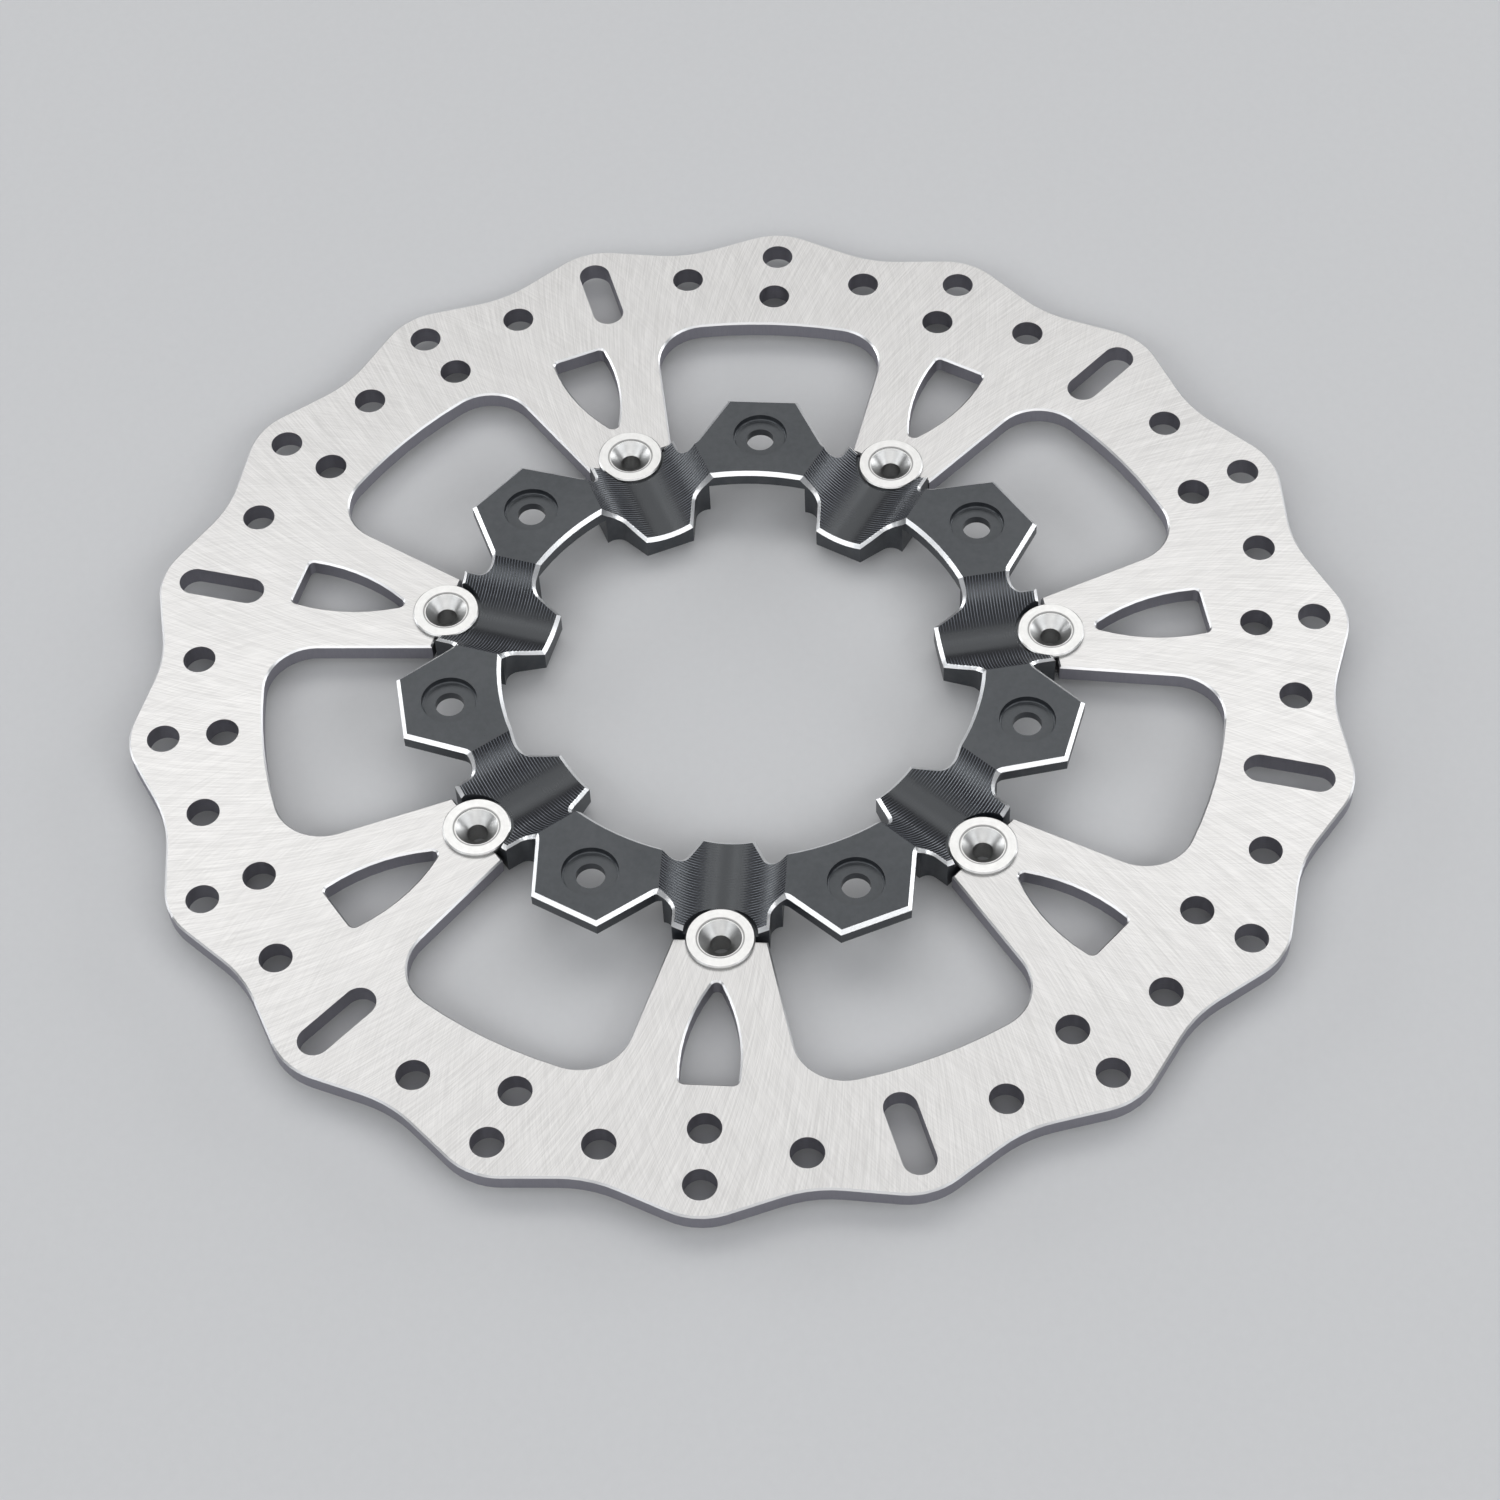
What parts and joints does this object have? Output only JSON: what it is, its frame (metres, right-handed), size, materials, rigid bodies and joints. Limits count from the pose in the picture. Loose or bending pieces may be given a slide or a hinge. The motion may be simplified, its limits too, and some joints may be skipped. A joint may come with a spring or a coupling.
{
  "type": "motorcycle floating brake disc rotor",
  "caption": "Floating motorcycle brake disc rotor: wavy steel friction ring on a black anodised bolt-on carrier, held by sprung round buttons.",
  "frame": {"origin": "centre of the bolt circle, on the wheel axis, in the plane of the mounting lugs' wheel-side faces", "axes": "+Z along the wheel axis, away from the wheel, towards the side the bolt heads sit on; +X through the first spoke and button; +Y completes the right-handed frame"},
  "size_m": [0.3, 0.296, 0.0157],
  "materials": {
    "rotor_steel": "ground friction faces with fine random scratches, bright chamfers",
    "carrier_black": "satin black anodised with bright machined edges",
    "button_metal": "bright turned metal",
    "spring_steel": "plain spring steel",
    "washer_steel": "plain washer steel"
  },
  "bodies": {
    "carrier": {"carrier": "carrier_black"},
    "rotor": {"rotor_disc": "rotor_steel"},
    "button_1": {"bobbin_1": "button_metal", "wave_washer_1": "spring_steel", "flat_washer_1": "washer_steel", "snap_ring_1": "spring_steel"},
    "button_2": {"bobbin_2": "button_metal", "wave_washer_2": "spring_steel", "flat_washer_2": "washer_steel", "snap_ring_2": "spring_steel"},
    "button_3": {"bobbin_3": "button_metal", "wave_washer_3": "spring_steel", "flat_washer_3": "washer_steel", "snap_ring_3": "spring_steel"},
    "button_4": {"bobbin_4": "button_metal", "wave_washer_4": "spring_steel", "flat_washer_4": "washer_steel", "snap_ring_4": "spring_steel"},
    "button_5": {"bobbin_5": "button_metal", "wave_washer_5": "spring_steel", "flat_washer_5": "washer_steel", "snap_ring_5": "spring_steel"},
    "button_6": {"bobbin_6": "button_metal", "wave_washer_6": "spring_steel", "flat_washer_6": "washer_steel", "snap_ring_6": "spring_steel"},
    "button_7": {"bobbin_7": "button_metal", "wave_washer_7": "spring_steel", "flat_washer_7": "washer_steel", "snap_ring_7": "spring_steel"}
  },
  "joints": [
    {"name": "rotor_float", "type": "slide", "parent": "carrier", "child": "rotor", "axis": [0, 0, 1], "range_m": [-0.00025, 0], "stiffness_N_per_m": 100000, "springref_m": 0.0004, "deforming": ["wave_washer_1", "wave_washer_2", "wave_washer_3", "wave_washer_4", "wave_washer_5", "wave_washer_6", "wave_washer_7"]},
    {"name": "button_spin_1", "type": "hinge", "parent": "carrier", "child": "button_1", "pos_m": [0.0769, 0, 0], "axis": [0, 0, 1], "continuous": true},
    {"name": "button_spin_2", "type": "hinge", "parent": "carrier", "child": "button_2", "pos_m": [0.04795, 0.06012, 0], "axis": [0, 0, 1], "continuous": true},
    {"name": "button_spin_3", "type": "hinge", "parent": "carrier", "child": "button_3", "pos_m": [-0.01711, 0.07497, 0], "axis": [0, 0, 1], "continuous": true},
    {"name": "button_spin_4", "type": "hinge", "parent": "carrier", "child": "button_4", "pos_m": [-0.06928, 0.03337, 0], "axis": [0, 0, 1], "continuous": true},
    {"name": "button_spin_5", "type": "hinge", "parent": "carrier", "child": "button_5", "pos_m": [-0.06928, -0.03337, 0], "axis": [0, 0, 1], "continuous": true},
    {"name": "button_spin_6", "type": "hinge", "parent": "carrier", "child": "button_6", "pos_m": [-0.01711, -0.07497, 0], "axis": [0, 0, 1], "continuous": true},
    {"name": "button_spin_7", "type": "hinge", "parent": "carrier", "child": "button_7", "pos_m": [0.04795, -0.06012, 0], "axis": [0, 0, 1], "continuous": true}
  ]
}
